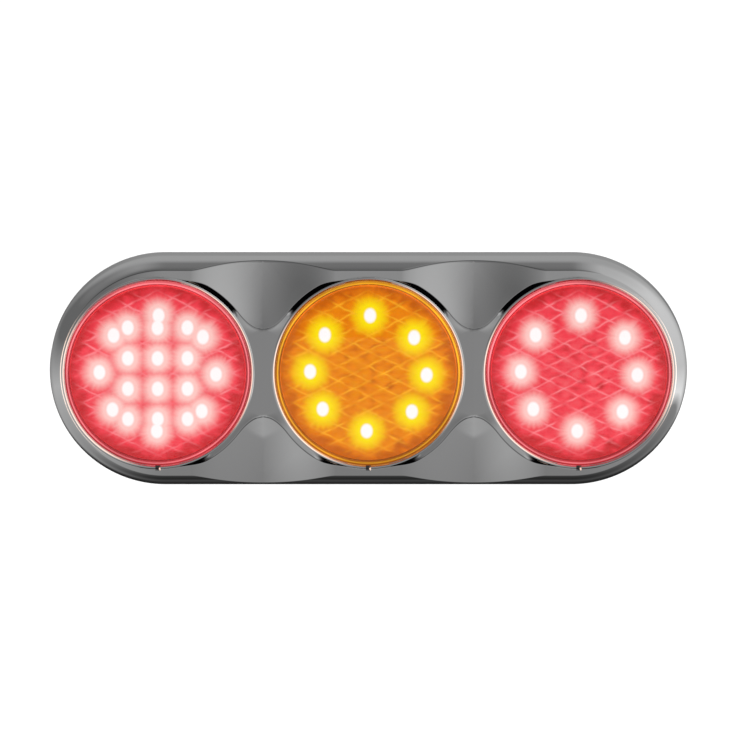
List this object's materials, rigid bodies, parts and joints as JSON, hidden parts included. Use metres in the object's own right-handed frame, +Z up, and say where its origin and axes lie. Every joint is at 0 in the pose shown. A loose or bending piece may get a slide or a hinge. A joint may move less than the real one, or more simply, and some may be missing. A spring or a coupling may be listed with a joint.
{
  "type": "trailer tail light",
  "caption": "Long rear light with round ends: a sculpted chrome bezel holds round LED lamps with red and amber lenses side by side on a flat foam-backed tray.",
  "frame": {"origin": "centre of the foam gasket's back face, where the light lies on the vehicle", "axes": "+X along the row of lamps, +Y into the vehicle, +Z up; the lamps look along -Y"},
  "size_m": [0.283, 0.0286, 0.1024],
  "materials": {
    "foam": "closed-cell foam, matte",
    "black_plastic": "fine moulded texture",
    "chrome_plating": "bright chrome plating on moulded plastic",
    "screw_steel": "zinc plated",
    "rubber": "smooth moulded rubber",
    "clear_plastic": "clear polished plastic",
    "circuit_board": "white solder mask",
    "resin": "poured resin",
    "red_lens": "polished transparent red plastic",
    "amber_lens": "polished transparent amber plastic"
  },
  "bodies": {
    "base": {"foam_gasket": "foam", "base_tray": "black_plastic", "chrome_bezel": "chrome_plating", "bezel_screw_1": "screw_steel", "bezel_screw_2": "screw_steel", "bezel_screw_3": "screw_steel", "bezel_screw_4": "screw_steel", "mount_bush_1": "screw_steel", "mount_bush_2": "screw_steel", "mount_bush_3": "screw_steel", "mount_bush_4": "screw_steel"},
    "left_lamp": {"left_lens": "red_lens", "left_lens_seal": "rubber", "left_inner_optic": "clear_plastic", "left_led_board": "circuit_board", "left_potting": "resin", "left_lamp_housing": "black_plastic", "left_cable_gland": "rubber", "left_retaining_ring": "rubber"},
    "centre_lamp": {"centre_lens": "amber_lens", "centre_lens_seal": "rubber", "centre_inner_optic": "clear_plastic", "centre_led_board": "circuit_board", "centre_potting": "resin", "centre_lamp_housing": "black_plastic", "centre_cable_gland": "rubber", "centre_retaining_ring": "rubber"},
    "right_lamp": {"right_lens": "red_lens", "right_lens_seal": "rubber", "right_inner_optic": "clear_plastic", "right_led_board": "circuit_board", "right_potting": "resin", "right_lamp_housing": "black_plastic", "right_cable_gland": "rubber", "right_retaining_ring": "rubber"}
  },
  "joints": [
    {"name": "left_lamp_pull", "type": "slide", "parent": "base", "child": "left_lamp", "axis": [0, -1, 0], "range_m": [0, 0.045]},
    {"name": "centre_lamp_pull", "type": "slide", "parent": "base", "child": "centre_lamp", "axis": [0, -1, 0], "range_m": [0, 0.045]},
    {"name": "right_lamp_pull", "type": "slide", "parent": "base", "child": "right_lamp", "axis": [0, -1, 0], "range_m": [0, 0.045]}
  ]
}
